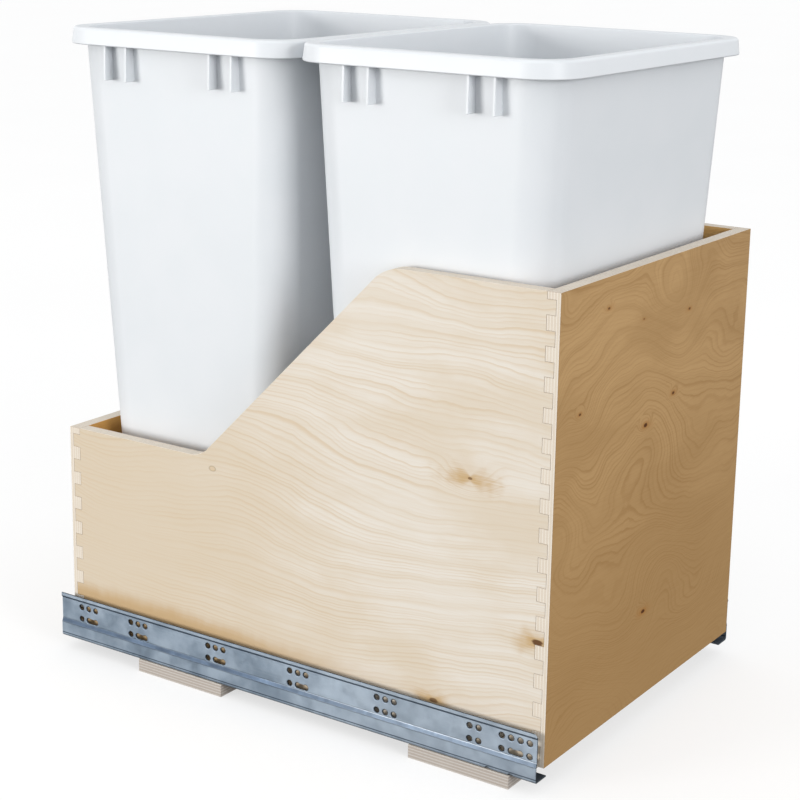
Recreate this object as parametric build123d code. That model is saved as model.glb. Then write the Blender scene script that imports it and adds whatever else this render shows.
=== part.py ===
from build123d import *
import math
import os

os.makedirs("parts", exist_ok=True)

# Cabinet opening and wooden box
opening_width = 381.0
side_gap = 8.3
box_length = 533.4
tall_height = 406.4
low_height = 203.2
ply = 12.5
bottom_recess = 12.7
bottom_thickness = 6.4
groove_depth = 6.0
finger_pitch = 25.4
finger_lap = 4.2
finger_start_share = 0.25
finger_end_share = 0.75
slope_foot_setback = 162.9
slope_angle = 45.0
foot_radius = 25.4
head_radius = 38.1
notch_width = 41.0

# Steel rail that fastens to the cabinet wall, seen as a section across its length
rail_overlength = 6.6
rail_setback = 3.0
rail_height = 45.0
sheet = 1.2
bend = 2.4
lip_height = 3.5
face_recess = 1.2
step_top = 18.6
step_drop = 3.5
joggle_bend = 1.4
rail_corner = 4.0
toe_width = 18.0
track_start = 17.0
track_width = 58.0
track_height = 11.3
track_lip = 5.0
overrun = 2.0

# Holes of the rail
first_hole = 34.4
hole_pitch = 9.1
hole_radius = 2.6
dimple_radius = 3.4
dimple_depth = 0.5
upper_row = 34.5
row_drop = 12.0
system_pitch = 32.0
group_steps = (0, 1, 4, 7, 10, 13, 15)
group_counts = (4, 2, 3, 3, 3, 3, 3)
slotted_groups = (0, 3, 4, 5, 6)
bend_notch_places = (24.4, 47.1)
bend_notch_radius = 3.0

# Inner guide strip beside the rollers
guide_foot = 11.0
guide_inner = 21.7
guide_lip = 3.3

# Rollers, cages and the two running profiles
roller_diameter = 5.0
roller_clearance = 0.05
roller_length = 20.0
roller_count = 8
cage_length = 200.0
cage_thickness = 4.5
cage_skirt = 0.8
cage_drop = 9.7
cage_clearance = 0.3
lower_cage_share = 0.325
upper_cage_share = 0.343
tube_width = 26.0
tube_offset = 26.0
tube_bend = 2.0
tube_flange = 3.0
tube_start = 42.0
tube_end_gap = 50.0
profile_start = 42.0
profile_side_gap = 1.4
profile_clear_of_track = 1.0

# Hook at the back of the running profile
hook_rise = 11.0
hook_radius = 3.0
hook_hole_clearance = 0.1
hook_reach = 9.0
hook_tab_width = 16.0
hook_tab_margin = 5.0
hook_gap = 0.3
hook_head_radius = 4.5
hook_head_height = 1.5

# Soft-close unit beside the track
housing_setback = 148.0
housing_length = 135.0
housing_width = 22.0
housing_wall = 2.0
cover_thickness = 1.5
cover_drop = 0.1
damper_radius = 3.6
damper_length = 53.0
damper_wall = 0.85
damper_cap = 1.5
damper_inset = 7.0
piston_radius = 2.7
piston_length = 3.0
piston_setback = 4.0
rod_radius = 1.2
running_clearance = 0.05
rod_socket = 6.0
catch_stroke = 42.0
catch_length = 16.0
catch_place = 105.0
catch_clearance = 0.3
catch_fin_width = 4.0
catch_valley = 5.5
catch_valley_depth = 1.4
catch_slot_clearance = 0.5
spring_radius = 2.5
spring_wire = 0.8
spring_inset = 16.5
rivet_radius = 1.5
rivet_head_radius = 2.6
rivet_head_height = 0.8
rivet_inset = 12.0

# Tab on the running profile that meets the catch
tab_sheet = 1.2
tab_length = 18.0
tab_plate_height = 9.0
tab_finger_length = 4.5
tab_release_gap = 0.3
tab_finger_height = 1.0

# Front locking clip and its release lever
clip_reach_low = 25.0
clip_reach_high = 72.0
clip_gap = 0.2
clip_length = 27.0
clip_height = 11.5
clip_tail_start = 56.5
clip_tail_length = 38.0
prong_start = 28.0
prong_width = 22.0
prong_length = 10.0
prong_height = 4.2
prong_gap = 0.2
lever_thickness = 3.0
lever_rise = 3.0
lever_slot_gap = 0.3
lever_hub_radius = 5.0
lever_pin_radius = 1.5
lever_pivot_back = 14.0
lever_pivot_inset = 7.0
lever_arm_length = 26.0
lever_arm_width = 7.0
lever_pad_height = 8.0
lever_pad_length = 4.0

# Wood screws
screw_radius = 2.0
screw_head_radius = 4.0
screw_head_height = 2.2
cleat_screw_inset = 15.0
cleat_screw_depth = 9.0
clip_screw_radius = 1.6
clip_screw_head_radius = 3.4
clip_screw_head_height = 2.0
clip_screw_depth = 5.0
clip_screw_places = (9.0, 38.0)
floor_hole_radius = 2.5
floor_hole_inset = 110.0

# Plywood cleats across the rails
cleat_width = 101.6
front_cleat_start = 29.0
rear_cleat_setback = 202.0
cleat_screw_shares = (0.25, 0.75)

# Waste bins
bin_height = 566.0
rim_side_gap = 1.9
rim_front_setback = 8.5
rim_rear_overhang = 6.5
rim_gap = 0.6
rim_height = 15.4
rim_flare = 1.4
rim_radius = 36.8
rim_overhang = 9.6
rim_edge = 3.0
bin_wall = 2.4
bin_floor = 3.0
bin_draft = 2.6
bin_base_radius = 10.0
body_radius = 32.0
fin_thickness = 2.5
fin_drop = 31.0
fin_places = (48.4, 73.3)

# Height of the box above the rails' underside, and what follows from the sizes above
box_lift = 12.0
bottom_height = box_lift + bottom_recess
box_width = opening_width - 2 * side_gap
rail_length = box_length + rail_overlength
overall_depth = rail_setback + rail_length
rail_end = overall_depth
lower_cage_start = rail_length * lower_cage_share
upper_cage_start = rail_length * upper_cage_share
tube_length = rail_length - tube_end_gap
housing_start = rail_end - housing_setback
catch_start = housing_start + catch_place
cleat_starts = (front_cleat_start, rail_end - rear_cleat_setback)
bin_rim_width = box_width - 2 * rim_side_gap
rim_run = box_length - rim_front_setback + rim_rear_overhang
bin_rim_depth = (rim_run - rim_gap) / 2 - 2 * rim_flare
bin_spacing = bin_rim_depth + 2 * rim_flare + rim_gap
bin_front_centre = rim_front_setback + rim_flare + bin_rim_depth / 2
front_y = -overall_depth / 2
tube_bottom = sheet + roller_diameter + 2 * roller_clearance
tube_top = bottom_height - sheet - roller_diameter - 2 * roller_clearance
profile_outer = tube_offset - profile_side_gap - sheet
profile_inner = tube_offset + tube_width + profile_side_gap + sheet
profile_end = box_length + hook_gap + sheet
leg_bottom = track_height + profile_clear_of_track
roller_start = tube_offset + (tube_width - roller_length) / 2


def slab(low, high):
    """Block between two opposite corners."""
    size = [high[i] - low[i] for i in range(3)]
    centre = [(high[i] + low[i]) / 2 for i in range(3)]
    return Pos(*centre) * Box(*size)


def rod_along_x(radius, start, length, y, z):
    """Round bar along X from a start point."""
    return Pos(start + length / 2, y, z) * Rot(0, 90, 0) * Cylinder(radius, length)


def rod_along_y(radius, start, length, x, z):
    """Round bar along Y from a start point."""
    return Pos(x, start + length / 2, z) * Rot(90, 0, 0) * Cylinder(radius, length)


def rod_along_z(radius, start, length, x, y):
    """Round bar along Z from a start point."""
    return Pos(x, y, start + length / 2) * Cylinder(radius, length)


def bent_sheet(points, radii, side, start, length):
    """Folded sheet-metal section, drawn across the rail and run along Y."""
    spine = FilletPolyline(*points, radius=radii)
    section = make_face(offset(spine, amount=sheet, side=side))
    return Pos(0, start, 0) * extrude(Plane.XZ * section, amount=-length)


def at_box(shape):
    """Moves a shape from the box's lower front left corner to its place."""
    return Pos(-box_width / 2, front_y, ply + box_lift) * shape


def at_left_rail(shape):
    """Moves a shape from the left cabinet wall, level with the rail's underside, to its place."""
    return Pos(-opening_width / 2, front_y, ply) * shape


def write(name, shape):
    """Writes one sub-part; a group of like pieces stays a group of solids."""
    solids = shape.solids()
    body = solids[0] if len(solids) == 1 else Compound(children=list(solids))
    export_step(body, "parts/" + name + ".step")


def write_pair(name, shape):
    """Writes a left piece and its mirror image on the right."""
    left = at_left_rail(shape)
    write("left_" + name, left)
    write("right_" + name, mirror(left, about=Plane.YZ))


def write_both(name, shape):
    """Writes the left pieces and their mirror images as one group."""
    left = at_left_rail(shape)
    write(name, Compound(children=left.solids() + mirror(left, about=Plane.YZ).solids()))


def finger_ranges(height):
    """Heights of the side panel's fingers along a corner of this height."""
    count = max(1, round(height / finger_pitch))
    step = height / count
    return [(step * (i + finger_start_share), step * (i + finger_end_share)) for i in range(count)]


def bottom_shape():
    """Bottom panel, held in a groove on all four sides."""
    inset = ply - groove_depth
    low = (inset, inset, bottom_recess)
    high = (box_width - inset, box_length - inset, bottom_recess + bottom_thickness)
    return slab(low, high)


def end_panel(height, lap_side):
    """Front or back panel, with a socket for each finger of the side panels behind its lap."""
    panel = slab((0, 0, 0), (box_width, ply, height))
    low_y = finger_lap if lap_side < 0 else 0
    high_y = ply if lap_side < 0 else ply - finger_lap
    sockets = []
    for low_z, high_z in finger_ranges(height):
        sockets.append(slab((0, low_y, low_z), (ply, high_y, high_z)))
        sockets.append(slab((box_width - ply, low_y, low_z), (box_width, high_y, high_z)))
    return panel - sockets


def front_panel():
    """Tall front panel."""
    return end_panel(tall_height, -1) - bottom_shape()


def back_panel():
    """Low back panel, notched at both lower corners for the slides and drilled for their hooks."""
    panel = Pos(0, box_length - ply, 0) * end_panel(low_height, 1)
    low_y = box_length - ply - overrun
    high_y = box_length + overrun
    hook_x = hook_centre() - side_gap
    cuts = [bottom_shape()]
    cuts.append(slab((ply, low_y, -overrun), (ply + notch_width, high_y, bottom_recess)))
    right_notch = box_width - ply - notch_width
    cuts.append(slab((right_notch, low_y, -overrun), (box_width - ply, high_y, bottom_recess)))
    for x in (hook_x, box_width - hook_x):
        radius = hook_radius + hook_hole_clearance
        cuts.append(rod_along_y(radius, low_y, high_y - low_y, x, bottom_recess + hook_rise))
    return panel - cuts


def side_panel():
    """Side panel with its swept top edge, and the fingers that enter the front and back panels."""
    foot_y = box_length - slope_foot_setback
    head_y = foot_y - (tall_height - low_height) / math.tan(math.radians(slope_angle))
    back_y = box_length - ply
    outline = make_face(Polyline(
        (ply, 0), (back_y, 0), (back_y, low_height), (foot_y, low_height),
        (head_y, tall_height), (ply, tall_height), close=True))
    foot = outline.vertices().sort_by_distance((foot_y, low_height, 0))[0]
    outline = fillet(foot, radius=foot_radius)
    head = outline.vertices().sort_by_distance((head_y, tall_height, 0))[0]
    outline = fillet(head, radius=head_radius)
    panel = extrude(Plane.YZ * outline, amount=ply)
    fingers = [slab((0, finger_lap, low), (ply, ply, high)) for low, high in finger_ranges(tall_height)]
    for low, high in finger_ranges(low_height):
        fingers.append(slab((0, back_y, low), (ply, box_length - finger_lap, high)))
    return (panel + fingers) - bottom_shape()


def hook_centre():
    """Middle of the running profile, across the slide."""
    return (profile_outer + profile_inner) / 2


def cleat_screw_places():
    """Places along the rail of the screws that hold it to the cleats."""
    return [start + share * cleat_width for start in cleat_starts for share in cleat_screw_shares]


def rail_hole_cutters():
    """Screw holes, slots and shallow dimples through the rail's wall, in groups on the 32 mm system."""
    cutters = []
    dimple_turn = Rot(0, 90, 0)
    for group, step in enumerate(group_steps):
        group_y = rail_setback + first_hole + step * system_pitch
        slotted = group in slotted_groups
        for row in range(2):
            z = upper_row - row * row_drop
            for i in range(group_counts[group]):
                y = group_y - i * hole_pitch
                cutters.append(rod_along_x(hole_radius, -overrun, 3 * overrun, y, z))
                dimple = Cone(dimple_radius, hole_radius, dimple_depth)
                cutters.append(Pos(face_recess + dimple_depth / 2, y, z) * dimple_turn * dimple)
            if row == 1 and slotted:
                far_y = group_y - 2 * hole_pitch
                near_y = group_y - hole_pitch
                cutters.append(slab((-overrun, far_y, z - hole_radius), (2 * overrun, near_y, z + hole_radius)))
    return cutters


def cabinet_profile():
    """Fixed steel rail: a wall for the cabinet side, a floor and the inner edge of the roller track."""
    points = [
        (0, rail_height), (0, rail_height - lip_height),
        (face_recess, rail_height - lip_height - face_recess), (face_recess, step_top),
        (0, step_top - step_drop), (0, 0), (track_width, 0),
        (track_width, track_height), (track_width - track_lip, track_height)]
    radii = [joggle_bend, joggle_bend, joggle_bend, joggle_bend, bend, bend, bend]
    rail = bent_sheet(points, radii, Side.RIGHT, rail_setback, rail_length)
    cuts = rail_hole_cutters()
    cuts.append(slab((toe_width, 0, -overrun), (track_width + overrun, track_start + rail_setback, rail_height)))
    cuts.append(corner_cutter((0, rail_setback, rail_height)))
    for place in bend_notch_places:
        cuts.append(rod_along_x(bend_notch_radius, -overrun, bend + overrun, rail_setback + place, 0))
    for y in cleat_screw_places():
        cuts.append(rod_along_z(screw_radius, -overrun, 3 * overrun, cleat_screw_inset, y))
    for y in rivet_places():
        cuts.append(rod_along_x(rivet_radius, track_width - 2 * sheet, 3 * sheet, y, rivet_height()))
    stop_low = (tube_offset, rail_end - sheet, sheet)
    stop_high = (tube_offset + tube_width, rail_end, sheet + roller_diameter)
    return (rail - cuts) + slab(stop_low, stop_high)


def corner_cutter(corner):
    """Rounds the rail wall's upper front corner."""
    x, y, z = corner
    square = slab((x - overrun, y - overrun, z - rail_corner), (x + 2 * overrun, y + rail_corner, z + overrun))
    return square - rod_along_x(rail_corner, x - 2 * overrun, 5 * overrun, y + rail_corner, z - rail_corner)


def guide_strip():
    """Folded strip welded on the rail's floor: the outer edge of the roller track."""
    start = rail_setback + track_start
    points = [
        (guide_foot, sheet), (guide_inner, sheet),
        (guide_inner, track_height - sheet), (guide_inner + guide_lip, track_height - sheet)]
    strip = bent_sheet(points, [bend - sheet / 2, sheet / 2], Side.LEFT, start, rail_end - start - sheet)
    holes = [rod_along_z(screw_radius, 0, 3 * overrun, cleat_screw_inset, y) for y in cleat_screw_places()]
    return strip - holes


def cleat(start):
    """Plywood strip under both rails, drilled for its screws and for screws into the cabinet floor."""
    strip = slab((0, start, -ply), (opening_width, start + cleat_width, 0))
    cuts = []
    for share in cleat_screw_shares:
        y = start + share * cleat_width
        for x in (cleat_screw_inset, opening_width - cleat_screw_inset):
            cuts.append(rod_along_z(screw_radius, -cleat_screw_depth, cleat_screw_depth + overrun, x, y))
    for x in (floor_hole_inset, opening_width - floor_hole_inset):
        cuts.append(rod_along_z(floor_hole_radius, -ply - overrun, ply + 2 * overrun, x, start + cleat_width / 2))
    return strip - cuts


def cleat_screws():
    """Pan-head screws through the guide strip and rail into the cleats."""
    seat = 2 * sheet
    screws = []
    for y in cleat_screw_places():
        shank = rod_along_z(screw_radius, -cleat_screw_depth, cleat_screw_depth + seat, cleat_screw_inset, y)
        head = rod_along_z(screw_head_radius, seat, screw_head_height, cleat_screw_inset, y)
        screws.append(shank + head)
    return Compound(children=screws)


def roller_places(start):
    """Even places of the rollers along a cage."""
    pitch = cage_length / roller_count
    return [start + pitch / 2 + pitch * i for i in range(roller_count)]


def rollers(start, floor):
    """Steel rollers lying across the track."""
    z = floor + roller_clearance + roller_diameter / 2
    bars = [rod_along_x(roller_diameter / 2, roller_start, roller_length, y, z) for y in roller_places(start)]
    return Compound(children=bars)


def roller_windows(start, floor):
    """Windows in a cage, one for each roller."""
    half = roller_diameter / 2 + roller_clearance
    low_x = roller_start - roller_clearance
    high_x = roller_start + roller_length + roller_clearance
    top = floor + roller_diameter + overrun
    return [slab((low_x, y - half, floor - overrun), (high_x, y + half, top)) for y in roller_places(start)]


def lower_cage():
    """Flat plastic cage for the rollers under the middle profile."""
    bottom = sheet + (roller_diameter - cage_thickness) / 2 + roller_clearance
    low = (guide_inner + cage_clearance, lower_cage_start, bottom)
    high_x = track_width - sheet - rivet_head_height - 2 * cage_clearance
    high = (high_x, lower_cage_start + cage_length, bottom + cage_thickness)
    return slab(low, high) - roller_windows(lower_cage_start, sheet)


def upper_cage():
    """Saddle-shaped plastic cage for the rollers on top of the middle profile."""
    bottom = tube_top + (roller_diameter - cage_thickness) / 2 + roller_clearance
    top = bottom + cage_thickness
    skirt_low = tube_offset - cage_clearance - cage_skirt
    skirt_high = tube_offset + tube_width + cage_clearance + cage_skirt
    end = upper_cage_start + cage_length
    plate = slab((skirt_low, upper_cage_start, bottom), (skirt_high, end, top))
    outer = slab((skirt_low, upper_cage_start, top - cage_drop), (skirt_low + cage_skirt, end, top))
    inner = slab((skirt_high - cage_skirt, upper_cage_start, top - cage_drop), (skirt_high, end, top))
    relief = bend - sheet
    reliefs = [
        slab((skirt_low, upper_cage_start, top - relief), (skirt_low + relief, end, top)),
        slab((skirt_high - relief, upper_cage_start, top - relief), (skirt_high, end, top))]
    return (plate + outer + inner) - roller_windows(upper_cage_start, tube_top) - reliefs


def intermediate_profile():
    """Middle profile: a closed steel tube on a flat base that runs in the track."""
    height = tube_top - tube_bottom
    centre = (tube_offset + tube_width / 2, tube_bottom + height / 2)
    outer = Pos(*centre) * RectangleRounded(tube_width, height, tube_bend)
    inner = Pos(*centre) * RectangleRounded(tube_width - 2 * sheet, height - 2 * sheet, tube_bend - sheet)
    base = Pos(centre[0], tube_bottom + sheet / 2) * Rectangle(tube_width + 2 * tube_flange, sheet)
    section = (outer + base) - inner
    return Pos(0, tube_start, 0) * extrude(Plane.XZ * section, amount=-tube_length)


def drawer_profile():
    """Top profile under the box: an upturned channel with a tab folded up behind the back panel."""
    points = [
        (profile_outer, leg_bottom), (profile_outer, bottom_height),
        (profile_inner, bottom_height), (profile_inner, leg_bottom)]
    channel = bent_sheet(points, [bend, bend], Side.RIGHT, profile_start, profile_end - profile_start)
    tab_top = bottom_height + hook_rise + hook_tab_margin
    low_x = hook_centre() - hook_tab_width / 2
    tab = slab(
        (low_x, profile_end - sheet, bottom_height - sheet), (low_x + hook_tab_width, profile_end, tab_top))
    hole = rod_along_y(hook_radius, profile_end - 2 * sheet, 3 * sheet, hook_centre(), bottom_height + hook_rise)
    return (channel + tab) - hole


def rear_hook():
    """Pin riveted in the folded tab, entering the back panel."""
    z = bottom_height + hook_rise
    pin = rod_along_y(hook_radius, profile_end - hook_reach, hook_reach, hook_centre(), z)
    head = rod_along_y(hook_head_radius, profile_end, hook_head_height, hook_centre(), z)
    return pin + head


def rivet_places():
    """Places along the rail of the soft-close unit's rivets."""
    return (housing_start + rivet_inset, housing_start + housing_length - rivet_inset + housing_wall)


def rivet_height():
    """Height of the rivets, midway up the housing's wall."""
    return track_height / 2


def housing_top():
    """Upper face of the soft-close unit's cover."""
    return track_height - cover_drop


def damper_centre():
    """Place of the damper's axis: across the slide, and its height."""
    return (track_width + damper_inset, housing_wall + (housing_top() - cover_thickness - housing_wall) / 2)


def soft_close_housing():
    """Plastic tray riveted to the side of the track."""
    end = housing_start + housing_length
    top = housing_top() - cover_thickness
    tray = slab((track_width, housing_start, 0), (track_width + housing_width, end, top))
    well = slab(
        (track_width + housing_wall, housing_start + housing_wall, housing_wall),
        (track_width + housing_width - housing_wall, end - housing_wall, top + overrun))
    holes = [rod_along_x(rivet_radius, track_width - overrun, 3 * overrun, y, rivet_height()) for y in rivet_places()]
    return tray - well - holes


def soft_close_cover():
    """Flat cover on the tray, slotted for the catch's travel."""
    top = housing_top()
    end = housing_start + housing_length
    plate = slab(
        (track_width, housing_start, top - cover_thickness), (track_width + housing_width, end, top))
    low_x = damper_centre()[0] - catch_fin_width / 2 - catch_slot_clearance
    high_x = low_x + catch_fin_width + 2 * catch_slot_clearance
    low_y = catch_start - catch_stroke - catch_slot_clearance
    high_y = catch_start + catch_length + catch_slot_clearance
    return plate - slab((low_x, low_y, top - 2 * cover_thickness), (high_x, high_y, top + overrun))


def housing_rivets():
    """Rivets that hold the tray to the track's inner edge."""
    rivets = []
    start = track_width - sheet
    length = sheet + housing_wall
    for y in rivet_places():
        shank = rod_along_x(rivet_radius, start, length, y, rivet_height())
        head = rod_along_x(rivet_head_radius, start - rivet_head_height, rivet_head_height, y, rivet_height())
        tail = rod_along_x(rivet_head_radius, start + length, rivet_head_height, y, rivet_height())
        rivets.append(shank + head + tail)
    return Compound(children=rivets)


def damper_cylinder():
    """Oil damper's barrel, open to the catch through a small bore in its cap."""
    x, z = damper_centre()
    start = housing_start + housing_wall
    barrel = rod_along_y(damper_radius, start, damper_length, x, z)
    bore_length = damper_length - 2 * damper_cap
    bore = rod_along_y(damper_radius - damper_wall, start + damper_cap, bore_length, x, z)
    mouth = rod_along_y(rod_radius + running_clearance, start, damper_length + overrun, x, z)
    back_wall = rod_along_y(damper_radius, start, damper_cap, x, z)
    return (barrel - bore - mouth) + back_wall


def damper_rod():
    """Piston and rod, fixed in the catch."""
    x, z = damper_centre()
    barrel_end = housing_start + housing_wall + damper_length
    piston_start = barrel_end - damper_cap - piston_setback - piston_length
    piston = rod_along_y(piston_radius, piston_start, piston_length, x, z)
    rod = rod_along_y(rod_radius, piston_start, catch_start + rod_socket - piston_start, x, z)
    return piston + rod


def catch():
    """Sliding catch, with a fin and shallow valley in line with the profile's tab."""
    x, z = damper_centre()
    low_x = track_width + housing_wall + 2 * rivet_head_height
    high_x = track_width + housing_width - housing_wall - catch_clearance
    low_z = housing_wall + catch_clearance
    high_z = housing_top() - cover_thickness - catch_clearance
    end = catch_start + catch_length
    block = slab((low_x, catch_start, low_z), (high_x, end, high_z))
    fin = slab((x - catch_fin_width / 2, catch_start, low_z), (x + catch_fin_width / 2, end, housing_top()))
    valley_y = catch_start + (catch_length - catch_valley) / 2
    valley = slab(
        (x - catch_fin_width, valley_y, housing_top() - catch_valley_depth),
        (x + catch_fin_width, valley_y + catch_valley, housing_top() + overrun))
    socket = rod_along_y(rod_radius, catch_start - overrun, rod_socket + overrun, x, z)
    return (block + fin) - valley - socket


def closing_spring():
    """Spring that pushes the catch back, as a plain tube of the coil's size."""
    z = damper_centre()[1]
    start = housing_start + housing_wall
    length = catch_start - start
    coil = rod_along_y(spring_radius, start, length, track_width + spring_inset, z)
    return coil - rod_along_y(spring_radius - spring_wire, start, length, track_width + spring_inset, z)


def closing_tab():
    """Folded steel tab on the running profile, reaching over the catch."""
    x = damper_centre()[0]
    finger_bottom = housing_top() + tab_release_gap
    finger_top = finger_bottom + tab_finger_height
    middle = catch_start + catch_length / 2
    low_y = middle - tab_length / 2
    high_y = middle + tab_length / 2
    plate_top = finger_top + tab_sheet
    high_x = x + catch_fin_width / 2
    upright = slab((profile_inner, low_y, finger_top), (profile_inner + tab_sheet, high_y, plate_top + tab_plate_height))
    plate = slab((profile_inner, low_y, finger_top), (high_x, high_y, plate_top))
    finger = slab(
        (x - catch_fin_width / 2, middle - tab_finger_length / 2, finger_bottom),
        (high_x, middle + tab_finger_length / 2, finger_top))
    return upright + plate + finger


def clip_front():
    """Front face of the locking clip, against the front panel."""
    return ply + clip_gap


def clip_screw_centres():
    """Places of the clip's two screws, across the slide and along it."""
    y = clip_front() + clip_length / 2
    return [(clip_reach_low + place, y) for place in clip_screw_places]


def lever_pivot():
    """Pivot of the release lever, across the slide and along it."""
    x = clip_reach_high - lever_pivot_inset
    return (x, clip_front() + clip_length + clip_tail_length - lever_pivot_back)


def locking_clip():
    """Plastic clip under the box's front corner: block, prong into the profile, and slotted tail."""
    bottom = bottom_height - clip_height
    front = clip_front()
    back = front + clip_length
    block = slab((clip_reach_low, front, bottom), (clip_reach_high, back, bottom_height))
    tail_end = back + clip_tail_length
    tail = slab((clip_tail_start, back, bottom), (clip_reach_high, tail_end, bottom_height))
    prong_top = bottom_height - sheet - prong_gap
    prong = slab(
        (prong_start, back, prong_top - prong_height), (prong_start + prong_width, back + prong_length, prong_top))
    x, y = lever_pivot()
    slot_low = bottom + lever_rise - lever_slot_gap
    slot_high = slot_low + lever_thickness + 2 * lever_slot_gap
    slot = slab(
        (clip_tail_start - overrun, y - 2 * lever_hub_radius, slot_low),
        (clip_reach_high + overrun, tail_end + overrun, slot_high))
    cuts = [slot, rod_along_z(lever_pin_radius, bottom, clip_height, x, y)]
    for screw_x, screw_y in clip_screw_centres():
        cuts.append(rod_along_z(clip_screw_radius, bottom - overrun, clip_height + 2 * overrun, screw_x, screw_y))
        seat = clip_screw_head_height + overrun
        cuts.append(rod_along_z(clip_screw_head_radius, bottom - overrun, seat, screw_x, screw_y))
    return (block + tail + prong) - cuts


def clip_screws():
    """Screws up through the clip into the bottom panel."""
    seat = bottom_height - clip_height + clip_screw_head_height
    screws = []
    for x, y in clip_screw_centres():
        head = rod_along_z(clip_screw_head_radius, seat - clip_screw_head_height, clip_screw_head_height, x, y)
        length = bottom_height - seat + clip_screw_depth
        screws.append(head + rod_along_z(clip_screw_radius, seat, length, x, y))
    return Compound(children=screws)


def bottom_panel():
    """Bottom panel, with pilot holes for the clips' screws."""
    holes = []
    for x, y in clip_screw_centres():
        for across in (x - side_gap, opening_width - side_gap - x):
            holes.append(rod_along_z(clip_screw_radius, bottom_recess - overrun, clip_screw_depth + overrun, across, y))
    return bottom_shape() - holes


def lever_pin():
    """Pin of the release lever."""
    x, y = lever_pivot()
    return rod_along_z(lever_pin_radius, bottom_height - clip_height, clip_height, x, y)


def release_lever():
    """Plastic lever: a hub in the clip's slot, an arm and a finger pad."""
    x, y = lever_pivot()
    bottom = bottom_height - clip_height + lever_rise
    top = bottom + lever_thickness
    hub = rod_along_z(lever_hub_radius, bottom, lever_thickness, x, y)
    half = lever_arm_width / 2
    arm = slab((x, y - half, bottom), (x + lever_arm_length, y + half, top))
    pad = slab(
        (x + lever_arm_length - lever_pad_length, y - half, bottom),
        (x + lever_arm_length, y + half, bottom + lever_pad_height))
    bore = rod_along_z(lever_pin_radius + running_clearance, bottom - overrun, lever_thickness + 2 * overrun, x, y)
    return (hub + arm + pad) - bore


def bin_section(width, depth, radius, z):
    """Rounded rectangle at a height."""
    return Pos(0, 0, z) * RectangleRounded(width, depth, radius)


def waste_bin():
    """Tapered plastic bin with a turned-down rim and stiffening fins under it."""
    narrowing = 2 * bin_height * math.tan(math.radians(bin_draft))
    top_width = bin_rim_width - 2 * rim_overhang
    top_depth = bin_rim_depth - 2 * rim_overhang
    base = bin_section(top_width - narrowing, top_depth - narrowing, body_radius, 0)
    shell = loft([base, bin_section(top_width, top_depth, body_radius, bin_height)])
    foot_edges = shell.edges().group_by(Axis.Z)[0]
    shell = fillet(foot_edges, radius=bin_base_radius)
    rim_bottom = bin_height - rim_height
    skirt = loft([
        bin_section(bin_rim_width + 2 * rim_flare, bin_rim_depth + 2 * rim_flare, rim_radius + rim_flare, rim_bottom),
        bin_section(bin_rim_width, bin_rim_depth, rim_radius, bin_height)])
    skirt = fillet(skirt.edges().group_by(Axis.Z)[-1], radius=rim_edge)
    under_width = bin_rim_width - 2 * bin_wall
    under_depth = bin_rim_depth - 2 * bin_wall
    under_radius = rim_radius - bin_wall
    underside = loft([
        bin_section(under_width + 2 * rim_flare, under_depth + 2 * rim_flare, under_radius + rim_flare, rim_bottom),
        bin_section(under_width, under_depth, under_radius, bin_height - bin_wall)])
    fins = []
    reach = bin_rim_width / 2
    root = (top_width - narrowing) / 2
    for place in fin_places:
        for side in (-1, 1):
            y = side * place
            for low_x, high_x in ((-reach, -root), (root, reach)):
                fins.append(slab(
                    (low_x, y - fin_thickness / 2, rim_bottom - fin_drop),
                    (high_x, y + fin_thickness / 2, bin_height - bin_wall / 2)))
    draft_run = math.tan(math.radians(bin_draft))
    inner_top_width = top_width - 2 * bin_wall
    inner_top_depth = top_depth - 2 * bin_wall
    inner_narrowing = narrowing - 2 * bin_floor * draft_run
    cavity = loft([
        bin_section(
            inner_top_width - inner_narrowing, inner_top_depth - inner_narrowing, body_radius - bin_wall, bin_floor),
        bin_section(inner_top_width, inner_top_depth, body_radius - bin_wall, bin_height)])
    cavity = fillet(cavity.edges().group_by(Axis.Z)[0], radius=bin_base_radius - bin_wall)
    return ((skirt - underside) + shell + fins) - cavity


def at_bin(shape, index):
    """Moves a bin from its own base centre to its place on the bottom panel."""
    y = front_y + bin_front_centre + index * bin_spacing
    return Pos(0, y, ply + box_lift + bottom_recess + bottom_thickness) * shape


write("front_panel", at_box(front_panel()))
write("back_panel", at_box(back_panel()))
write("bottom_panel", at_box(bottom_panel()))
left_side = at_box(side_panel())
write("left_side_panel", left_side)
write("right_side_panel", mirror(left_side, about=Plane.YZ))
write("front_cleat", at_left_rail(cleat(cleat_starts[0])))
write("rear_cleat", at_left_rail(cleat(cleat_starts[1])))
bin_shape = waste_bin()
write("front_bin", at_bin(bin_shape, 0))
write("rear_bin", at_bin(bin_shape, 1))
write_pair("cabinet_profile", cabinet_profile())
write_pair("guide_strip", guide_strip())
write_pair("lower_cage", lower_cage())
write_pair("lower_rollers", rollers(lower_cage_start, sheet))
write_pair("intermediate_profile", intermediate_profile())
write_pair("upper_cage", upper_cage())
write_pair("upper_rollers", rollers(upper_cage_start, tube_top))
write_pair("drawer_profile", drawer_profile())
write_pair("rear_hook", rear_hook())
write_pair("closing_tab", closing_tab())
write_pair("soft_close_housing", soft_close_housing())
write_pair("soft_close_cover", soft_close_cover())
write_pair("damper_cylinder", damper_cylinder())
write_pair("damper_rod", damper_rod())
write_pair("catch", catch())
write_pair("closing_spring", closing_spring())
write_pair("locking_clip", locking_clip())
write_pair("release_lever", release_lever())
write_both("cleat_screws", cleat_screws())
write_both("housing_rivets", housing_rivets())
write_both("clip_screws", clip_screws())
write_both("lever_pins", lever_pin())
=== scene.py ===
import math

import bmesh
import bpy
from mathutils import Matrix, Vector


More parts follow.
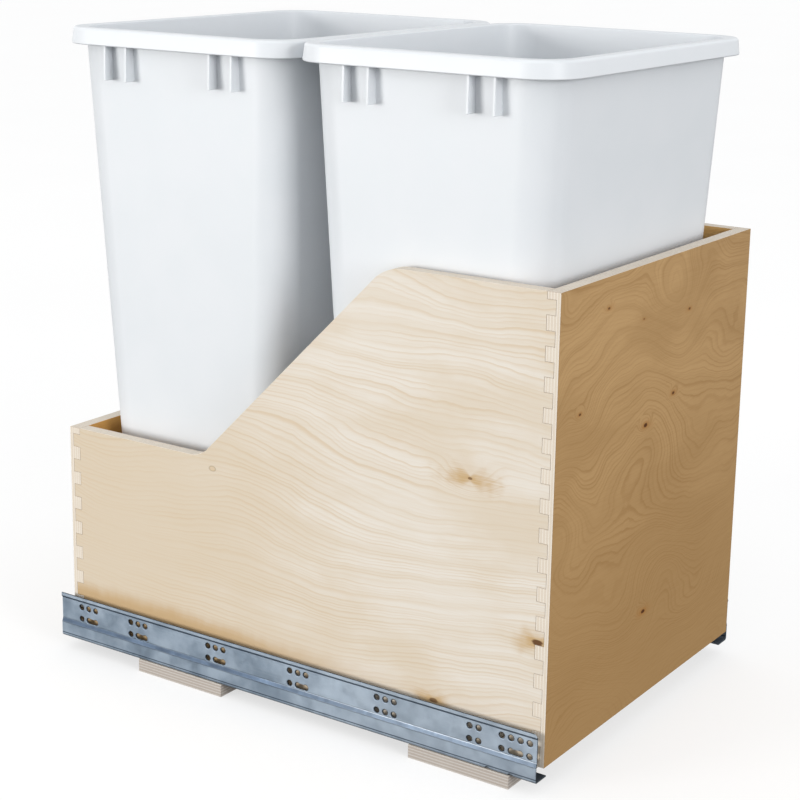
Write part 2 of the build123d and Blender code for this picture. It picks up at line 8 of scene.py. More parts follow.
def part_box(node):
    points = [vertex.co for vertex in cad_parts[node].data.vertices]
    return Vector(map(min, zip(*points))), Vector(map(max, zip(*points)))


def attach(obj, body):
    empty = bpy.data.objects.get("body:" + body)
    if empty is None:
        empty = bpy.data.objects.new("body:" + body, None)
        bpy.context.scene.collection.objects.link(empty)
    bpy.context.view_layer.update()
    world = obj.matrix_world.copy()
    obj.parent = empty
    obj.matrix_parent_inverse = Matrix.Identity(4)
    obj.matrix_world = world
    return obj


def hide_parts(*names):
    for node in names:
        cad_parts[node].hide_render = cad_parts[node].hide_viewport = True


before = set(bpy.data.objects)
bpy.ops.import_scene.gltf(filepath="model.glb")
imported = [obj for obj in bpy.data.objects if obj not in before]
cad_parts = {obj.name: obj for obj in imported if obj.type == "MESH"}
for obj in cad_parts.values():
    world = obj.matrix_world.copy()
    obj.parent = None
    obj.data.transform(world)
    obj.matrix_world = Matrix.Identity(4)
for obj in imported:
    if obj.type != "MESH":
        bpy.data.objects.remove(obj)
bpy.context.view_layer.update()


# Side panels of the box: 12.5 mm birch plywood, sawn with a swept top edge from the low
# back to the tall front. Their fingers enter the front and back panels, and glue holds them.
# Peeled birch veneer faces under satin lacquer; the sawn edges show the crossed plies.
PLY_COUNT = 9
FINGER_PITCH = 0.0254
FINGER_LAP = 0.0042
SLOPE_FOOT_SETBACK = 0.1629
SLOPE_ANGLE = math.radians(45)
FOOT_RADIUS = 0.0254
HEAD_RADIUS = 0.0381
EASED_EDGE = 0.0003
EASED_SEGMENTS = 2
SWEEP_SEGMENTS = 16
SHARP_ANGLE = math.radians(30)
FLAT_ANGLE = math.radians(0.5)
FACING = 0.9

front_low, front_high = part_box("front_panel")
back_low, back_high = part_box("back_panel")
ply = front_high.y - front_low.y
left_face = front_low.x
right_face = front_high.x


def start_finish(name):
    """New material, its shader, and a call that adds a node and returns one of its outputs."""
    material = bpy.data.materials.new(name)
    material.use_nodes = True
    tree = material.node_tree

    def add(kind, *inputs, out=0, **settings):
        node = tree.nodes.new("ShaderNode" + kind)
        for key, value in settings.items():
            setattr(node, key, value)
        for socket, value in inputs:
            if isinstance(value, bpy.types.NodeSocket):
                tree.links.new(value, node.inputs[socket])
            else:
                node.inputs[socket].default_value = value
        return node.outputs[out]

    shader = tree.nodes["Principled BSDF"]

    def connect(socket, value):
        tree.links.new(value, shader.inputs[socket])

    return material, shader, add, connect


def sums(add, kind, first, second=0.0, third=0.0):
    """One step of arithmetic on a pattern."""
    return add("Math", (0, first), (1, second), (2, third), operation=kind)


def fade(add, value, start, end, low=0.0, high=1.0):
    """Soft step from low to high as the value goes from start to end."""
    return add(
        "MapRange", (0, value), (1, start), (2, end), (3, low), (4, high),
        interpolation_type="SMOOTHSTEP")


def tone(add, share, first, second, mode="MIX"):
    """Mix of two colours."""
    pair = [(*c, 1.0) if isinstance(c, tuple) else c for c in (first, second)]
    return add("Mix", (0, share), (6, pair[0]), (7, pair[1]), data_type="RGBA", blend_type=mode, out=2)


def cloud(add, place, size, detail=3.0, rough=0.5):
    """Soft noise from 0 to 1 on a place, with a feature size in metres."""
    return add("TexNoise", ("Vector", place), ("Scale", 1 / size), ("Detail", detail), ("Roughness", rough))


def away(add, u, v, centre, reach):
    """Distance from a mark on a face, 1 at its reach along the grain and across it."""
    du = sums(add, "DIVIDE", sums(add, "SUBTRACT", u, centre[0]), reach[0])
    dv = sums(add, "DIVIDE", sums(add, "SUBTRACT", v, centre[1]), reach[1])
    return sums(add, "SQRT", sums(add, "ADD", sums(add, "MULTIPLY", du, du), sums(add, "MULTIPLY", dv, dv)))


# Sawn edge: long plies, cross plies, glue lines.
CREAM_EDGE = ((0.73, 0.675, 0.59), (0.67, 0.595, 0.495), (0.36, 0.22, 0.15))
INSIDE_SHADE_TINT = (0.95, 0.66, 0.30)
JOINT_SHADE = (0.22, 0.14, 0.085)
FLAME_TINT = (0.72, 0.52, 0.28)
HEART_TINT = (0.16, 0.075, 0.03)
FOOT_SHADE_TINT = (0.70, 0.51, 0.29)
PIN_RING_TINT = (0.45, 0.45, 0.45)
SWELL_SHAPE = (3.4, 2.2)
FLAME_SHAPE = (2.6, 1.3)
HEART_SHAPE = (1.5, 0.8)
PIN_SHAPE = (1.0, 0.62)
SMALL_BEND_DIVISOR = 9
RIPPLE_REACH = 0.003
SEASON_LENGTH = 2.6
SEASON_REACH = 1.3
YEAR_LENGTH = 0.8
BAND_LENGTH = 3.2
LATEWOOD_START = 0.4
LATEWOOD_PEAK = 0.92
SKIN_OUTER = 0.06
SKIN_INNER = 0.16
WOOD_RELIEF = 0.0004
WOOD_SPECULAR = 0.2


def shaded(colour, tint):
    """Colour with each of its channels scaled."""
    return tuple(c * s for c, s in zip(colour, tint))


def spread(size, shape):
    """Reach of a mark along the grain and across it."""
    return (size * shape[0], size * shape[1])


def plywood_finish(
        name, thickness, start, depth, along, across, veneer, grain, knots=(), joint=None,
        inward=0, painted_shade_run=None, pin_knots=(), painted_foot_shade=None, sawn=CREAM_EDGE):
    """Birch plywood: growth rings, fibres and knots on the faces, crossed plies on the sawn edges.

    A board may also have painted warm shade on its inner face, dark lines at its corner joints,
    painted shade that deepens towards one end, small healed knots and painted brown shade along its foot.
    """
    pale, line, blotch = veneer
    ring_gap, pull, drift, drift_size, ring_tone = grain
    material, shader, add, connect = start_finish(name)
    place = add("TexCoord", out="Object")
    parts = {axis: add("SeparateXYZ", (0, place), out=axis) for axis in "XYZ"}
    u, v, t = parts[along], parts[across], parts[thickness]

    def times(first, second):
        return sums(add, "MULTIPLY", first, second)

    def grain_noise(size_along, size_across, shift, detail, rough=0.5):
        """Noise stretched along the grain."""
        spot = add(
            "CombineXYZ", (0, sums(add, "DIVIDE", u, size_along)),
            (1, sums(add, "DIVIDE", v, size_across)), (2, shift))
        return add("TexNoise", ("Vector", spot), ("Scale", 1.0), ("Detail", detail), ("Roughness", rough))

    def ring_noise(level, length, detail=0.0):
        """Noise that changes from ring to ring, over a length counted in rings."""
        ring = sums(add, "DIVIDE", level, ring_gap * length)
        return add("TexNoise", ("W", ring), ("Scale", 1.0), ("Detail", detail), noise_dimensions="1D")

    def about_middle(noise, reach):
        return times(sums(add, "SUBTRACT", noise, 0.5), reach)

    # Height of each spot in the tree, bent by noise and by the knots, gives the rings.
    ripple = grain_noise(0.02, 0.025, shift=8.1, detail=2.0)
    wide_bend = grain_noise(*drift_size, shift=3.7, detail=1.0, rough=0.4)
    small_bend = grain_noise(0.085, 0.05, shift=6.4, detail=1.0)
    level = times(v, pull)
    for noise, reach in (
            (wide_bend, drift), (small_bend, drift / SMALL_BEND_DIVISOR), (ripple, RIPPLE_REACH)):
        level = sums(add, "ADD", level, about_middle(noise, reach))
    for centre, reach, _, swell, *_ in knots:
        near = fade(add, away(add, u, v, centre, spread(reach, SWELL_SHAPE)), 1.0, 0.0, high=swell)
        level = sums(add, "ADD", level, near)
    season = ring_noise(level, SEASON_LENGTH)
    level = sums(add, "ADD", level, about_middle(season, ring_gap * SEASON_REACH))
    turn = sums(add, "FRACT", sums(add, "DIVIDE", level, ring_gap))
    latewood = times(fade(add, turn, LATEWOOD_START, LATEWOOD_PEAK), fade(add, turn, 1.0, LATEWOOD_PEAK))
    waning = fade(add, grain_noise(0.14, 0.07, shift=1.3, detail=2.0), 0.32, 0.62, low=0.3)
    year = fade(add, ring_noise(level, YEAR_LENGTH), 0.3, 0.66, low=0.35)
    rings = times(latewood, times(waning, year))

    fibre = grain_noise(0.035, 0.0012, shift=5.2, detail=3.0)
    patch = grain_noise(0.12, 0.07, shift=9.4, detail=4.0)
    band = ring_noise(level, BAND_LENGTH, detail=2.0)
    face = tone(add, fade(add, patch, 0.38, 0.66, high=0.65), pale, blotch)
    face = tone(add, fade(add, band, 0.35, 0.7, high=0.4), face, blotch)
    # Painted shade that deepens towards one end of the board.
    if painted_shade_run:
        axis, light_end, dark_end, share = painted_shade_run
        face = tone(add, fade(add, parts[axis], light_end, dark_end, high=share), face, blotch)
    face = tone(add, times(rings, ring_tone), face, line)
    face = tone(add, fade(add, fibre, 0.4, 0.75, high=0.12), face, line)

    # Knots: a brown flame that spreads along the grain, and a dark ragged heart.
    flame = shaded(pale, FLAME_TINT)
    for centre, reach, heart, _, dark, glow in knots:
        aside = sums(add, "ABSOLUTE", sums(add, "SUBTRACT", u, centre[0]))
        above = sums(add, "ABSOLUTE", sums(add, "SUBTRACT", v, centre[1]))
        steepness = sums(add, "DIVIDE", above, sums(add, "ADD", aside, reach * 0.15))
        wings = fade(add, steepness, 1.3, 0.3, low=0.35)
        distance = away(add, u, v, centre, spread(reach, FLAME_SHAPE))
        tatter = sums(add, "ADD", about_middle(ripple, 1.3), about_middle(fibre, 1.1))
        ragged = fade(add, sums(add, "ADD", distance, tatter), 1.15, 0.05, high=glow)
        face = tone(add, times(wings, ragged), face, flame)
        core = away(add, u, v, centre, spread(heart, HEART_SHAPE))
        rough_core = sums(add, "ADD", core, about_middle(fibre, 0.6))
        face = tone(add, fade(add, rough_core, 2.2, 0.9, high=dark * 0.6), face, flame)
        face = tone(add, fade(add, rough_core, 1.0, 0.6, high=dark), face, shaded(pale, HEART_TINT))
    for centre, reach in pin_knots:
        oval = away(add, u, v, centre, spread(reach, PIN_SHAPE))
        face = tone(add, fade(add, oval, 1.0, 0.7, high=0.55), face, line)
        ring = sums(add, "ABSOLUTE", sums(add, "SUBTRACT", oval, 0.88))
        face = tone(add, fade(add, ring, 0.28, 0.08, high=0.4), face, shaded(line, PIN_RING_TINT))
    # Painted warm brown shade along the board's foot, above the rail.
    if painted_foot_shade:
        shade_top, shade_foot, shade_front, shade_rear = painted_foot_shade
        stringy = grain_noise(0.006, 0.03, shift=2.6, detail=3.0)
        tatter = sums(add, "ADD", about_middle(ripple, 0.008), about_middle(stringy, 0.003))
        height = sums(add, "ADD", sums(add, "ADD", v, tatter), about_middle(patch, 0.012))
        rise = fade(add, height, shade_top, shade_foot, high=0.9)
        run = fade(add, u, shade_front, shade_rear, low=0.15)
        face = tone(add, times(rise, run), face, shaded(pale, FOOT_SHADE_TINT))

    # Sawn edges: plies of two tones, with a thin dark glue line between them.
    layer = times(sums(add, "DIVIDE", sums(add, "SUBTRACT", t, start), depth), float(PLY_COUNT))
    crossed = sums(add, "GREATER_THAN", sums(add, "MODULO", layer, 2.0), 1.0)
    seam = sums(add, "ABSOLUTE", sums(add, "SUBTRACT", sums(add, "FRACT", layer), 0.5))
    speck = add("TexNoise", ("Vector", place), ("Scale", 1400.0), ("Detail", 2.0))
    long_ply, cross_ply, glue_shade = sawn
    edge = tone(add, crossed, long_ply, cross_ply)
    edge = tone(add, fade(add, speck, 0.45, 0.8, high=0.25), edge, glue_shade)
    glue = times(fade(add, seam, 0.40, 0.49, high=0.6), fade(add, ripple, 0.3, 0.7, low=0.2))
    edge = tone(add, glue, edge, glue_shade)
    half_count = PLY_COUNT / 2
    middle = sums(add, "ABSOLUTE", sums(add, "SUBTRACT", layer, half_count))
    inside = fade(add, middle, half_count - SKIN_OUTER, half_count - SKIN_INNER)
    # Painted warm shade on the faces inside the box.
    if inward:
        inside_shade = sums(add, "GREATER_THAN", times(layer, float(inward)), inward * half_count)
        face = tone(add, inside_shade, face, INSIDE_SHADE_TINT, "MULTIPLY")
    wood = tone(add, inside, face, edge)
    if joint:
        middle_place, half_length = joint
        turned_to = add("SeparateXYZ", (0, add("TexCoord", out="Normal")))
        facing = [sums(add, "ABSOLUTE", side) for side in turned_to.node.outputs]
        straight = sums(add, "MAXIMUM", facing[0], sums(add, "MAXIMUM", facing[1], facing[2]))
        from_middle = sums(add, "ABSOLUTE", sums(add, "SUBTRACT", u, middle_place))
        at_corner = sums(add, "GREATER_THAN", from_middle, half_length)
        eased = fade(add, straight, 0.98, 0.85, high=0.8)
        wood = tone(add, times(eased, at_corner), wood, JOINT_SHADE)
    connect("Base Color", wood)
    satin = fade(add, fibre, 0.2, 0.8, low=0.42, high=0.54)
    connect("Roughness", sums(add, "ADD", satin, times(inside, 0.2)))
    relief = sums(add, "SUBTRACT", times(fibre, 0.6), times(rings, 0.08))
    connect("Normal", add("Bump", ("Strength", 0.2), ("Distance", WOOD_RELIEF), ("Height", relief)))
    shader.inputs["Specular IOR Level"].default_value = WOOD_SPECULAR
    return material


def push_out(bm, faces, step):
    """Extrudes some faces together and moves them by a step."""
    edges = dict.fromkeys(edge for face in faces for edge in face.edges)
    verts = dict.fromkeys(vert for face in faces for vert in face.verts)
    made = bmesh.ops.extrude_face_region(bm, geom=[*faces, *edges, *verts])["geom"]
    corners = [item for item in made if isinstance(item, bmesh.types.BMVert)]
    bmesh.ops.translate(bm, verts=corners, vec=step)


def cut_across(bm, places, axis):
    """Scores the board all round at each place along an axis."""
    for place in places:
        everything = bm.verts[:] + bm.edges[:] + bm.faces[:]
        bmesh.ops.bisect_plane(bm, geom=everything, plane_co=axis * place, plane_no=axis)


def ease_edges(bm):
    """Clears the scored lines and takes the sharpness off the edges."""
    bmesh.ops.recalc_face_normals(bm, faces=bm.faces)
    bmesh.ops.dissolve_limit(bm, angle_limit=FLAT_ANGLE, verts=bm.verts, edges=bm.edges)
    sharp = [edge for edge in bm.edges if edge.calc_face_angle(0.0) > SHARP_ANGLE]
    bmesh.ops.bevel(
        bm, geom=sharp, offset=EASED_EDGE, offset_type="OFFSET", affect="EDGES",
        segments=EASED_SEGMENTS, profile=0.5, material=-1, clamp_overlap=False)


def make_piece(name, bm, body, finish, slot, *nodes):
    """Turns a mesh into a piece of the object, with smooth shading held flat on its large faces."""
    bmesh.ops.recalc_face_normals(bm, faces=bm.faces)
    for face in bm.faces:
        face.smooth = True
    mesh = bpy.data.meshes.new(name)
    bm.to_mesh(mesh)
    bm.free()
    piece = bpy.data.objects.new(name, mesh)
    bpy.context.scene.collection.objects.link(piece)
    mesh.materials.append(finish)
    flat = piece.modifiers.new("even_faces", "WEIGHTED_NORMAL")
    flat.keep_sharp = True
    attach(piece, body)
    if nodes:
        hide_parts(*nodes)


def finger_ranges(bottom, top):
    """Heights between which the side panels' fingers lie along one corner."""
    count = round((top - bottom) / FINGER_PITCH)
    return [(bottom + FINGER_PITCH * (i + 0.25), bottom + FINGER_PITCH * (i + 0.75)) for i in range(count)]


def within(height, ranges):
    return any(low < height < high for low, high in ranges)


tall_ranges = finger_ranges(front_low.z, front_high.z)
low_ranges = finger_ranges(back_low.z, back_high.z)
# Veneer: pale wood, lines of the rings, darker patches.
SIDE_VENEER = ((0.695, 0.65, 0.585), (0.56, 0.41, 0.24), (0.605, 0.515, 0.395))
# Grain: gap between rings, pull across, reach and size of the wide bends, tone of the rings.
SIDE_GRAIN = (0.0040, 1.0, 0.14, (0.32, 0.22), 0.5)
# Painted shade: axis, light end, dark end, share. Painted foot shade: top, foot, front end, rear end.
SIDE_PAINTED_SHADE = ("Y", -0.06, 0.16, 0.9)
FOOT_PAINTED_SHADE = (0.0765, 0.0585, -0.14, 0.1)
# Knots: place along and across, reach, heart, swell of the rings, darkness of heart and flame.
LEFT_KNOTS = (
    ((-0.1921, 0.2633), 0.0125, 0.0017, 0.016, 0.75, 0.95),
    ((-0.2612, 0.1345), 0.0125, 0.0042, 0.007, 0.97, 0.95),
    ((-0.1608, 0.0565), 0.0085, 0.0034, 0.004, 0.9, 0.9))
RIGHT_KNOTS = (
    ((0.118, 0.158), 0.009, 0.0015, 0.012, 0.6, 0.9),
    ((-0.148, 0.334), 0.0065, 0.0012, 0.01, 0.5, 0.7))
PIN_KNOTS = {"left": (((0.0843, 0.2188), 0.0042),), "right": (((-0.06, 0.118), 0.0038),)}
JOINT_MARGIN = 0.001
SIDE_MIDDLE = (
    (front_low.y + back_high.y) / 2, (back_high.y - front_low.y) / 2 - ply - JOINT_MARGIN)

for side, name, outer, knots in (
        (-1, "left", left_face, LEFT_KNOTS), (1, "right", right_face, RIGHT_KNOTS)):
    start = min(outer, outer - side * ply)
    finish = plywood_finish(
        name + "_side_birch", "X", start, ply, "Y", "Z", SIDE_VENEER, SIDE_GRAIN, knots,
        SIDE_MIDDLE, -side, SIDE_PAINTED_SHADE, PIN_KNOTS[name], FOOT_PAINTED_SHADE)
    board = bmesh.new()
    foot_y = back_high.y - SLOPE_FOOT_SETBACK
    head_y = foot_y - (front_high.z - back_high.z) / math.tan(SLOPE_ANGLE)
    outline = [
        board.verts.new((outer, y, z)) for y, z in (
            (front_high.y, front_low.z), (back_low.y, front_low.z), (back_low.y, back_high.z),
            (foot_y, back_high.z), (head_y, front_high.z), (front_high.y, front_high.z))]
    board.faces.new(outline)
    for corner, radius in ((outline[3], FOOT_RADIUS), (outline[4], HEAD_RADIUS)):
        bmesh.ops.bevel(
            board, geom=[corner], offset=radius * math.tan(SLOPE_ANGLE / 2), offset_type="OFFSET",
            affect="VERTICES", segments=SWEEP_SEGMENTS, profile=0.5, material=-1)
    push_out(board, board.faces[:], (-side * ply, 0, 0))
    bmesh.ops.recalc_face_normals(board, faces=board.faces)
    cut_across(board, [z for pair in tall_ranges for z in pair], Vector((0, 0, 1)))
    reach = ply - FINGER_LAP
    for direction, ranges in ((-1, tall_ranges), (1, low_ranges)):
        fingers = [
            face for face in board.faces
            if face.normal.y * direction > FACING and within(face.calc_center_median().z, ranges)]
        push_out(board, fingers, (0, direction * reach, 0))
    ease_edges(board)
    make_piece(name + "_side_board", board, "drawer", finish, "birch_plywood", name + "_side_panel")


# Front and back panels: the same plywood, a tall and a low board across the box. Each keeps a
# thin lap outside its sockets, so the fingers show on the sides only. The back is notched at
# both lower corners to clear the slides, which hook into it.
NOTCH_WIDTH = 0.041
NOTCH_HEIGHT = 0.0127
# Front veneer: darker and more golden than the sides', partly its own tone and partly painted shade.
FRONT_VENEER_AND_SHADE = ((0.475, 0.298, 0.134), (0.28, 0.147, 0.047), (0.365, 0.218, 0.089))
# Painted shade that deepens towards the front's foot.
FRONT_PAINTED_SHADE = ("Z", 0.40, 0.06, 0.85)
FRONT_GRAIN = (0.0026, 0.6, 0.14, (0.15, 0.12), 0.5)
BACK_VENEER = ((0.60, 0.46, 0.29), (0.45, 0.30, 0.15), (0.53, 0.385, 0.21))
BACK_GRAIN = (0.005, 0.8, 0.16, (0.26, 0.13), 0.4)
BACK_KNOTS = (((0.07, 0.13), 0.006, 0.0016, 0.01, 0.7, 0.5),)
FRONT_KNOTS = (
    ((-0.1, 0.404), 0.004, 0.0017, 0.008, 0.8, 0.3),
    ((0.0557, 0.3762), 0.004, 0.0017, 0.008, 0.8, 0.3),
    ((-0.0344, 0.3831), 0.003, 0.0012, 0.006, 0.6, 0.25),
    ((-0.1434, 0.323), 0.004, 0.0016, 0.008, 0.8, 0.3),
    ((-0.0218, 0.2859), 0.006, 0.0028, 0.014, 0.97, 0.35),
    ((0.0308, 0.3035), 0.0045, 0.0021, 0.014, 0.9, 0.3),
    ((-0.0089, 0.1083), 0.0066, 0.0027, 0.016, 0.97, 0.4))
END_MIDDLE = (
    (left_face + right_face) / 2, (right_face - left_face) / 2 - ply - JOINT_MARGIN)


def end_board(outline, outer_y, direction, ranges):
    """Board across the box: its lap, then the comb of fingers and the body behind it."""
    board = bmesh.new()
    board.faces.new([board.verts.new((x, outer_y, z)) for x, z in outline])
    push_out(board, board.faces[:], (0, direction * FINGER_LAP, 0))
    bmesh.ops.recalc_face_normals(board, faces=board.faces)
    cut_across(board, [z for pair in ranges for z in pair], Vector((0, 0, 1)))
    cut_across(board, [left_face + ply, right_face - ply], Vector((1, 0, 0)))
    behind = []
    for face in board.faces:
        centre = face.calc_center_median()
        socket = abs(centre.x) > right_face - ply and within(centre.z, ranges)
        if face.normal.y * direction > FACING and not socket:
            behind.append(face)
    push_out(board, behind, (0, direction * (ply - FINGER_LAP), 0))
    ease_edges(board)
    return board


front_finish = plywood_finish(
    "front_birch", "Y", front_low.y, ply, "X", "Z", FRONT_VENEER_AND_SHADE, FRONT_GRAIN, FRONT_KNOTS,
    END_MIDDLE, painted_shade_run=FRONT_PAINTED_SHADE)
front_outline = [
    (left_face, front_low.z), (right_face, front_low.z), (right_face, front_high.z),
    (left_face, front_high.z)]
front_board = end_board(front_outline, front_low.y, 1, tall_ranges)
make_piece("front_board", front_board, "drawer", front_finish, "birch_plywood", "front_panel")

back_finish = plywood_finish(
    "back_birch", "Y", back_low.y, ply, "X", "Z", BACK_VENEER, BACK_GRAIN, BACK_KNOTS,
    END_MIDDLE, inward=-1)
notch_top = back_low.z + NOTCH_HEIGHT
notch_near, notch_far = left_face + ply, left_face + ply + NOTCH_WIDTH
back_outline = [
    (left_face, back_low.z), (notch_near, back_low.z), (notch_near, notch_top),
    (notch_far, notch_top), (notch_far, back_low.z), (-notch_far, back_low.z),
    (-notch_far, notch_top), (-notch_near, notch_top), (-notch_near, back_low.z),
    (right_face, back_low.z), (right_face, back_high.z), (left_face, back_high.z)]
back_board = end_board(back_outline, back_high.y, -1, low_ranges)
make_piece("back_board", back_board, "drawer", back_finish, "birch_plywood", "back_panel")


# Bottom of the box and the two cleats under the rails: thinner plywood let into a groove on all
# four sides, and 12.5 mm strips of plywood left raw, which raise the rails off the cabinet floor.
def dress(finish, *nodes):
    """Gives CAD parts their finish."""
    for node in nodes:
        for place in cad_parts[node].material_slots:
            place.material = finish


bottom_low, bottom_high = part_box("bottom_panel")
bottom_finish = plywood_finish(
    "bottom_birch", "Z", bottom_low.z, bottom_high.z - bottom_low.z, "Y", "X", BACK_VENEER,
    BACK_GRAIN)
dress(bottom_finish, "bottom_panel")

# Raw birch tones, darkened in part as painted shade near the floor.
RAW_VENEER_AND_SHADE = ((0.56, 0.51, 0.45), (0.45, 0.37, 0.29), (0.52, 0.45, 0.38))
RAW_EDGE_AND_SHADE = ((0.515, 0.485, 0.45), (0.41, 0.36, 0.315), (0.24, 0.15, 0.12))
cleat_low, cleat_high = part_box("front_cleat")
cleat_finish = plywood_finish(
    "raw_birch", "Z", cleat_low.z, cleat_high.z - cleat_low.z, "X", "Y", RAW_VENEER_AND_SHADE, BACK_GRAIN,
    sawn=RAW_EDGE_AND_SHADE)
dress(cleat_finish, "front_cleat", "rear_cleat")


# Waste bins: two tall tapered tubs, injection moulded in white polypropylene with a satin skin.
# The rim turns out and down, and short ribs stiffen it on the two long sides. They stand loose
# on the bottom panel and lift out.
RIM_HEIGHT = 0.0154
RIM_FLARE = 0.0014
RIM_OVERHANG = 0.0096
RIM_RADIUS = 0.0368
BODY_RADIUS = 0.032
BIN_WALL = 0.0024
BIN_FLOOR = 0.003
BIN_DRAFT = math.radians(2.6)
RIM_ROUND = 0.003
FOOT_ROUND = 0.010
FOOT_NARROWING = 0.6
CORNER_SEGMENTS = 14
RIB_THICKNESS = 0.0025
RIB_DROP = 0.031
RIB_PLACES = (0.0484, 0.0733)
RIB_ROUND = 0.0005
PLASTIC_SHADE = (0.68, 0.71, 0.74)
PLASTIC_LIGHT = (0.695, 0.72, 0.75)
SKIN_DEPTH = 0.004

bin_plastic, shader, add, connect = start_finish("white_polypropylene")
place = add("TexCoord", out="Object")
skin = add("TexNoise", ("Vector", place), ("Scale", 900.0), ("Detail", 2.0))
haze = cloud(add, place, 0.05, 4.0)
connect("Base Color", tone(add, fade(add, haze, 0.3, 0.7), PLASTIC_SHADE, PLASTIC_LIGHT))
connect("Roughness", fade(add, haze, 0.2, 0.8, low=0.4, high=0.48))
connect("Normal", add("Bump", ("Strength", 0.1), ("Distance", 0.0002), ("Height", skin)))
shader.inputs["Subsurface Weight"].default_value = 0.05
shader.inputs["Subsurface Radius"].default_value = (SKIN_DEPTH, SKIN_DEPTH, SKIN_DEPTH)


def draw_ring(bm, edges, old, new):
    """Draws a rounded ring of edges on to its next size and height."""
    made = bmesh.ops.extrude_edge_only(bm, edges=edges)["geom"]
    for vert in (item for item in made if isinstance(item, bmesh.types.BMVert)):
        for axis in (0, 1):
            lean = (abs(vert.co[axis]) - old[axis] + old[2]) / old[2]
            vert.co[axis] = math.copysign(new[axis] - new[2] + new[2] * lean, vert.co[axis])
        vert.co.z = new[3]
    return [item for item in made if isinstance(item, bmesh.types.BMEdge)]


def round_over(centre, radius, start, end, steps):
    """Points on an arc, as (outward, up) steps from its centre, in degrees."""
    turns = [math.radians(start + (end - start) * i / steps) for i in range(steps + 1)]
    return [(centre[0] + radius * math.cos(turn), centre[1] + radius * math.sin(turn)) for turn in turns]


for name in ("front", "rear"):
    low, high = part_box(name + "_bin")
    height = high.z - low.z
    lean_out = math.tan(BIN_DRAFT)
    rim_half = [(high[axis] - low[axis]) / 2 - RIM_FLARE for axis in (0, 1)]
    top_half = [half - RIM_OVERHANG for half in rim_half]

    def wall(out, up, radius):
        """Ring at a step out from the body's side at the top, and a height."""
        return (top_half[0] + out, top_half[1] + out, radius, up)

    def side(up):
        return -(height - up) * lean_out

    inner_foot = FOOT_ROUND - BIN_WALL
    rings = []
    inner_side = side(BIN_FLOOR) - BIN_WALL
    foot_centre = (inner_side - inner_foot, BIN_FLOOR + inner_foot)
    for out, up in round_over(foot_centre, inner_foot, 270, 360, 5):
        rings.append(wall(out, up, BODY_RADIUS - BIN_WALL - (inner_side - out) * FOOT_NARROWING))
    lip_round = RIM_ROUND / 2
    rings.append(wall(-BIN_WALL, height - lip_round, BODY_RADIUS - BIN_WALL))
    for out, up in round_over((-BIN_WALL + lip_round, height - lip_round), lip_round, 150, 90, 3):
        rings.append(wall(out, up, BODY_RADIUS - BIN_WALL + (out + BIN_WALL)))
    for out, up in round_over((RIM_OVERHANG - RIM_ROUND, height - RIM_ROUND), RIM_ROUND, 90, 8, 6):
        rings.append(wall(out, up, RIM_RADIUS - (RIM_OVERHANG - out)))
    rim_foot = height - RIM_HEIGHT
    lip = BIN_WALL / 2
    for out, up in round_over((RIM_OVERHANG + RIM_FLARE - lip, rim_foot + lip), lip, 0, -180, 6):
        rings.append(wall(out, up, RIM_RADIUS + RIM_FLARE - (RIM_OVERHANG + RIM_FLARE - out)))
    rings.append(wall(RIM_OVERHANG - BIN_WALL, height - BIN_WALL - lip, RIM_RADIUS - BIN_WALL))
    rings.append(wall(RIM_OVERHANG - BIN_WALL - lip, height - BIN_WALL, RIM_RADIUS - BIN_WALL - lip))
    rings.append(wall(side(height - BIN_WALL) + lip, height - BIN_WALL, BODY_RADIUS + lip))
    rings.append(wall(side(height - BIN_WALL - lip), height - BIN_WALL - lip, BODY_RADIUS))
    for out, up in round_over((side(FOOT_ROUND) - FOOT_ROUND, FOOT_ROUND), FOOT_ROUND, 0, -90, 6):
        rings.append(wall(out, up, BODY_RADIUS - (side(FOOT_ROUND) - out) * FOOT_NARROWING))

    tub = bmesh.new()
    first = rings[0]
    corners = [
        tub.verts.new((sx * first[0], sy * first[1], first[3]))
        for sx, sy in ((-1, -1), (1, -1), (1, 1), (-1, 1))]
    tub.faces.new(corners)
    bmesh.ops.bevel(
        tub, geom=corners, offset=first[2], offset_type="OFFSET", affect="VERTICES",
        segments=CORNER_SEGMENTS, profile=0.5, material=-1)
    edges = tub.edges[:]
    for old, new in zip(rings, rings[1:]):
        edges = draw_ring(tub, edges, old, new)
    bmesh.ops.contextual_create(tub, geom=edges)
    bmesh.ops.recalc_face_normals(tub, faces=tub.faces)

    for direction in (-1, 1):
        for place in RIB_PLACES:
            for middle in (-place, place):
                rib = bmesh.ops.create_cube(tub, size=1.0)["verts"]
                foot = rim_foot - RIB_DROP
                crown = height - BIN_WALL / 2
                for vert in rib:
                    up = crown if vert.co.z > 0 else foot
                    if vert.co.x * direction < 0:
                        out = side(up) - BIN_WALL / 2
                    elif up == foot:
                        out = RIM_OVERHANG
                    else:
                        out = RIM_OVERHANG - BIN_WALL / 2
                    vert.co.y = middle + math.copysign(RIB_THICKNESS / 2, vert.co.y)
                    vert.co.x = direction * (top_half[0] + out)
                    vert.co.z = up
                rib_edges = list(dict.fromkeys(edge for vert in rib for edge in vert.link_edges))
                bmesh.ops.bevel(
                    tub, geom=rib_edges, offset=RIB_ROUND, offset_type="OFFSET", affect="EDGES",
                    segments=2, profile=0.5, material=-1, clamp_overlap=True)
    middle_of_bin = (low + high) / 2
    bmesh.ops.translate(tub, verts=tub.verts, vec=(middle_of_bin.x, middle_of_bin.y, low.z))
    make_piece(name + "_tub", tub, name + "_waste_bin", bin_plastic, "white_plastic", name + "_bin")


